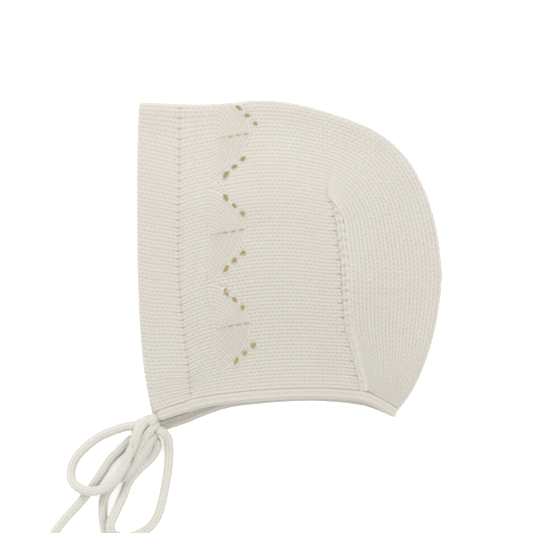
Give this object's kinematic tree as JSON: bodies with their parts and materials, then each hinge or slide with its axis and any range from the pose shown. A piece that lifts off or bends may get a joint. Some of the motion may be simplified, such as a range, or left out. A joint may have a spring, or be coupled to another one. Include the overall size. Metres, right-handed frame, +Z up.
{
  "type": "baby bonnet",
  "caption": "Knitted baby bonnet lying on its side, with a doubled hem round the face, arrowhead lace, a strip shaped down the back and cord ties in a bow",
  "frame": {"origin": "on the surface that the bonnet lies on, under the middle of the knitted part's box, ties left out", "axes": "+X from the face opening to the back of the head, +Y from the neck to the crown, +Z up from the right side, on which it lies, to the left side"},
  "size_m": [0.1871, 0.2132, 0.025],
  "materials": {
    "yarn": "matte off-white knitted wool",
    "cord": "matte off-white knitted wool cord"
  },
  "bodies": {
    "root": {"knit_body": "yarn", "front_band": "yarn", "neck_band": "yarn", "seam_left": "yarn", "seam_right": "yarn", "tie_left": "cord", "tie_right": "cord", "bow_knot": "cord", "bow_loop_front": "cord", "bow_loop_back": "cord", "tie_end_front": "cord", "tie_end_back": "cord"}
  },
  "joints": []
}
